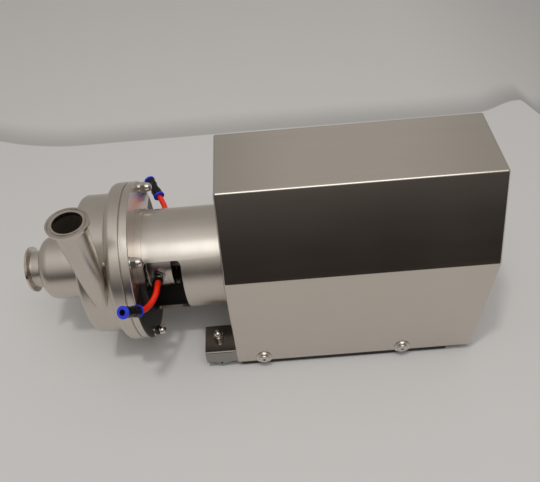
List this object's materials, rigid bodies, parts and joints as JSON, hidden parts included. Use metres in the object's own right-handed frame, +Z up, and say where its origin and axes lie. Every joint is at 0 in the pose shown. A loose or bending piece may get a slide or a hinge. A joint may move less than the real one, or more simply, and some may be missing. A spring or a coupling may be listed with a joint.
{
  "type": "vacuum pump",
  "caption": "Hygienic stainless centrifugal pump with clamp ports, a flushed shaft seal in an open lantern and a folded steel shroud over its motor.",
  "frame": {"origin": "on the ground under the pump axis, halfway between the suction face and the rear grommet", "axes": "+Z up; +X from the suction port towards the motor; -Y the side of the discharge pipe"},
  "size_m": [0.6218, 0.2815, 0.2847],
  "materials": {
    "stainless": "satin stainless steel",
    "polished_stainless": "polished stainless steel",
    "motor_alloy": "cast alloy, light grey paint",
    "laminations": "stacked electrical steel",
    "winding_wire": "varnished copper wire",
    "bearing_steel": "ground bearing steel",
    "seal_carbon": "lapped carbon",
    "seal_ceramic": "lapped ceramic",
    "rubber": "black rubber",
    "red_tube": "red polyurethane",
    "blue_collar": "blue moulded plastic",
    "black_plastic": "black moulded plastic"
  },
  "bodies": {
    "frame": {"acorn_nuts": "polished_stainless", "back_plate": "stainless", "cable_gland": "black_plastic", "cable_grommet": "rubber", "casing_gasket": "rubber", "cup_washers": "polished_stainless", "fan_cover": "motor_alloy", "flange_studs": "polished_stainless", "flange_washers": "polished_stainless", "flush_fitting_front": "polished_stainless", "flush_fitting_rear": "polished_stainless", "flush_tube_front": "red_tube", "flush_tube_rear": "red_tube", "foot_rail_front": "stainless", "foot_rail_rear": "stainless", "foot_studs": "polished_stainless", "front_outer_race": "bearing_steel", "inner_seal_seat": "seal_ceramic", "lantern": "stainless", "lantern_screws": "polished_stainless", "motor_foot_bolts": "polished_stainless", "motor_front_shield": "motor_alloy", "motor_rear_shield": "motor_alloy", "outer_seal_seat": "seal_ceramic", "rear_outer_race": "bearing_steel", "rubber_feet": "rubber", "seal_cover": "stainless", "seal_housing": "stainless", "seal_screws": "polished_stainless", "shroud": "stainless", "shroud_screws": "polished_stainless", "stator_core": "laminations", "stator_housing": "motor_alloy", "stator_windings": "winding_wire", "terminal_block": "black_plastic", "terminal_box": "motor_alloy", "terminal_box_lid": "motor_alloy", "union_body_front": "black_plastic", "union_body_rear": "black_plastic", "volute_casing": "stainless"},
    "rotor": {"motor_shaft": "bearing_steel", "pump_shaft": "stainless", "shaft_key": "bearing_steel", "impeller_key": "bearing_steel", "shaft_clamp_ring": "stainless", "impeller": "stainless", "impeller_nut": "stainless", "inner_seal_ring": "seal_carbon", "outer_seal_ring": "seal_carbon", "seal_spring": "bearing_steel", "front_inner_race": "bearing_steel", "rear_inner_race": "bearing_steel", "rotor_cage": "laminations", "cooling_fan": "black_plastic"},
    "front_balls": {"front_ball_cage": "bearing_steel"},
    "rear_balls": {"rear_ball_cage": "bearing_steel"},
    "collar_front_inner": {"release_collar_front_inner": "blue_collar"},
    "collar_front_outer": {"release_collar_front_outer": "blue_collar"},
    "collar_rear_inner": {"release_collar_rear_inner": "blue_collar"},
    "collar_rear_outer": {"release_collar_rear_outer": "blue_collar"}
  },
  "joints": [
    {"name": "rotor_spin", "type": "hinge", "parent": "frame", "child": "rotor", "pos_m": [0, 0, 0.1265], "axis": [1, 0, 0], "continuous": true},
    {"name": "front_balls_spin", "type": "hinge", "parent": "frame", "child": "front_balls", "pos_m": [0, 0, 0.1265], "axis": [1, 0, 0], "continuous": true},
    {"name": "rear_balls_spin", "type": "hinge", "parent": "frame", "child": "rear_balls", "pos_m": [0, 0, 0.1265], "axis": [1, 0, 0], "continuous": true},
    {"name": "collar_front_inner_press", "type": "slide", "parent": "frame", "child": "collar_front_inner", "axis": [-0.3154, -0.6059, 0.7304], "range_m": [0, 0.0012], "stiffness_N_per_m": 300},
    {"name": "collar_front_outer_press", "type": "slide", "parent": "frame", "child": "collar_front_outer", "axis": [0.3154, 0.6059, -0.7304], "range_m": [0, 0.0012], "stiffness_N_per_m": 300},
    {"name": "collar_rear_inner_press", "type": "slide", "parent": "frame", "child": "collar_rear_inner", "axis": [-0.4495, 0.8675, 0.2129], "range_m": [0, 0.0012], "stiffness_N_per_m": 300},
    {"name": "collar_rear_outer_press", "type": "slide", "parent": "frame", "child": "collar_rear_outer", "axis": [0.4495, -0.8675, -0.2129], "range_m": [0, 0.0012], "stiffness_N_per_m": 300}
  ],
  "couplings": [
    {"joint": "front_balls_spin", "follows": "rotor_spin", "ratio": 0.3987},
    {"joint": "rear_balls_spin", "follows": "rotor_spin", "ratio": 0.3987}
  ]
}
